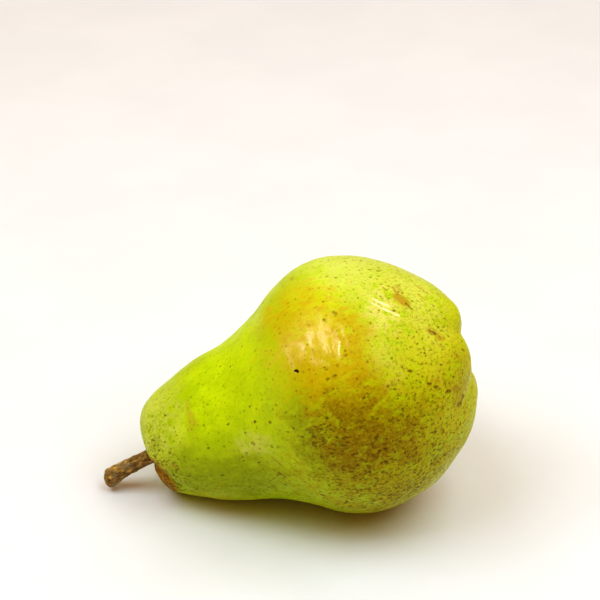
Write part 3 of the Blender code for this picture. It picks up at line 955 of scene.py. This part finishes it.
COLOURS = {
    "lime": (0.42, 0.62, 0.003, "The green ground of the skin"),
    "lemon": (0.54, 0.76, 0.004, "The skin at its brightest, on the neck"),
    # Partly painted sheen: paler, bluer skin where the softboxes' light glances off the top.
    "pale": (0.57, 0.68, 0.17, "The skin where its bloom is left"),
    "moss": (0.31, 0.43, 0.002, "The skin where it is still unripe"),
    "straw": (0.54, 0.56, 0.025, "The drier skin near the eye"),
    "gold": (0.40, 0.40, 0.002, "The skin where it ripens, on the underside"),
    "blush": (0.58, 0.53, 0.003, "The cheek that the sun has warmed"),
    "amber": (0.50, 0.41, 0.003, "The cheek at its ripest"),
    # Painted highlight: the pale, pinkish reflection of the left softbox on the cheek.
    "bloom": (0.80, 0.66, 0.30, "The palest of the cheek"),
    "glow": (0.74, 0.46, 0.01, "The cheek that it lies on"),
    "ochre": (0.42, 0.34, 0.002, "The edge of the cheek"),
    "olive": (0.29, 0.23, 0.001, "The dullest of the skin, under the cheek"),
    "shadow": (0.42, 0.34, 0.1, "What pores and freckles leave of the colour under them"),
    "dust": (0.66, 0.42, 0.1, "What fine dots leave of the colour under them"),
    "cork": (0.13, 0.07, 0.005, "The flecks and marks"),
    "soil": (0.035, 0.02, 0.004, "The darkest marks"),
    "tan": (0.48, 0.29, 0.06, "Scars and the skin's dried edges"),
    # Painted highlight: white glints and streaks where the softboxes catch the skin.
    "wax": (0.95, 0.93, 0.62, "The rubbed lines in the wax"),
    "russet": (0.38, 0.21, 0.025, "The corky skin at both ends"),
    "bark": (0.18, 0.115, 0.028, "The stem's bark"),
    "bark_light": (0.32, 0.215, 0.06, "The bark's worn places"),
    "bark_scale": (0.62, 0.43, 0.13, "The bark's scales and the sepals' tips"),
    "bark_dark": (0.03, 0.016, 0.006, "The bark's hollows"),
    "bark_grey": (0.27, 0.23, 0.12, "The bark where it has weathered"),
    "sepal": (0.02, 0.014, 0.006, "The calyx"),
    "sepal_light": (0.11, 0.08, 0.03, "The calyx where it catches the light"),
}


def colour_property(name):
    """A colour that a user can change, with its default and description from COLOURS."""
    red, green, blue, description = COLOURS[name]
    return bpy.props.FloatVectorProperty(
        name=name.replace("_", " ").capitalize(),
        description=description,
        subtype="COLOR",
        default=(red, green, blue),
        min=0.0,
        max=1.0,
    )


class PearColours(bpy.types.PropertyGroup):
    """The colours of the pear's skin, bark and calyx."""

    __annotations__ = {name: colour_property(name) for name in COLOURS}


class PearStudio(bpy.types.PropertyGroup):
    """The floor and the light."""

    floor_colour: bpy.props.FloatVectorProperty(
        name="Floor colour", description="The floor's sheet", subtype="COLOR", default=(0.71, 0.78, 0.97)
    )
    light_power: bpy.props.FloatProperty(
        name="Light power", description="The softboxes together", default=7.45, min=0.0, unit="POWER"
    )
    fill: bpy.props.FloatProperty(
        name="Fill", description="The room's even light", default=0.46, min=0.0
    )


class PEAR_OT_fruit(bpy.types.Operator):
    """Adds the fruit, which stands for the solid one"""

    bl_idname = "pear.fruit"
    bl_label = "Fruit"

    def execute(self, context):
        sculpt = bmesh.new()
        chain = list(CAVITY_FLOOR) + smooth_line(OUTLINE, OUTLINE_STEPS) + list(EYE_FLOOR)
        turned(sculpt, chain, FRUIT_SIDES)
        shape_fruit(sculpt)
        finished_piece("pear_fruit", sculpt, "fruit", skin_finish(context.scene.pear_colours))
        return {"FINISHED"}


class PEAR_OT_stem(bpy.types.Operator):
    """Adds the stem, which stands for the solid one"""

    bl_idname = "pear.stem"
    bl_label = "Stem"

    def execute(self, context):
        sculpt = bmesh.new()
        radii = smooth_line([(along, radius) for along, across, up, radius in STEM_LINE], STEM_STEPS)
        places = smooth_line([point[:3] for point in STEM_LINE], STEM_STEPS)
        chain = [(radii[0].x, 0.0)] + radii + list(STEM_END)
        turned(sculpt, chain, STEM_SIDES)
        bend_along(sculpt, places)
        roughen_bark(sculpt)
        finished_piece("pear_stem", sculpt, "stem", bark_finish(context.scene.pear_colours))
        return {"FINISHED"}


class PEAR_OT_calyx(bpy.types.Operator):
    """Adds the calyx, which stands for the solid one"""

    bl_idname = "pear.calyx"
    bl_label = "Calyx"

    def execute(self, context):
        sculpt = bmesh.new()
        turned(sculpt, DISC_OUTLINE, DISC_SIDES)
        for index in range(SEPALS):
            add_sepal(sculpt, index)
        for index in range(STAMENS):
            add_stamen(sculpt, index)
        bmesh.ops.translate(sculpt, verts=sculpt.verts, vec=(CALYX_PLACE, 0.0, 0.0))
        finish = sepal_finish(context.scene.pear_colours)
        finished_piece("pear_calyx", sculpt, "calyx", finish)
        return {"FINISHED"}


class PEAR_OT_stage(bpy.types.Operator):
    """Adds the floor, the light and the camera"""

    bl_idname = "pear.stage"
    bl_label = "Stage"

    def execute(self, context):
        studio = context.scene.pear_studio
        add_floor(context, studio)
        for name, power, size, bearing, height in SOFTBOXES:
            add_softbox(context, name, power * studio.light_power, size, bearing, height)
        world = bpy.data.worlds.new("studio")
        world.use_nodes = True
        fill = world.node_tree.nodes["Background"]
        fill.inputs["Color"].default_value = FILL_COLOUR
        fill.inputs["Strength"].default_value = studio.fill
        context.scene.world = world
        add_camera(context)
        context.scene.view_settings.view_transform = "Standard"
        context.scene.view_settings.look = "High Contrast"
        return {"FINISHED"}


class PEAR_PT_panel(bpy.types.Panel):
    """The pear's pieces, stage and colours"""

    bl_label = "Pear"
    bl_idname = "PEAR_PT_panel"
    bl_space_type = "VIEW_3D"
    bl_region_type = "UI"
    bl_category = "Pear"

    def draw(self, context):
        column = self.layout.column()
        for operator in (PEAR_OT_fruit, PEAR_OT_stem, PEAR_OT_calyx, PEAR_OT_stage):
            column.operator(operator.bl_idname)
        for name in COLOURS:
            column.prop(context.scene.pear_colours, name)
        for name in ("floor_colour", "light_power", "fill"):
            column.prop(context.scene.pear_studio, name)


CLASSES = (
    PearColours,
    PearStudio,
    PEAR_OT_fruit,
    PEAR_OT_stem,
    PEAR_OT_calyx,
    PEAR_OT_stage,
    PEAR_PT_panel,
)


def register():
    for cls in CLASSES:
        bpy.utils.register_class(cls)
    bpy.types.Scene.pear_colours = bpy.props.PointerProperty(type=PearColours)
    bpy.types.Scene.pear_studio = bpy.props.PointerProperty(type=PearStudio)


def unregister():
    del bpy.types.Scene.pear_studio
    del bpy.types.Scene.pear_colours
    for cls in reversed(CLASSES):
        bpy.utils.unregister_class(cls)


def main():
    register()
    bpy.ops.pear.fruit()
    bpy.ops.pear.stem()
    bpy.ops.pear.calyx()
    bpy.ops.pear.stage()


if __name__ == "__main__":
    main()
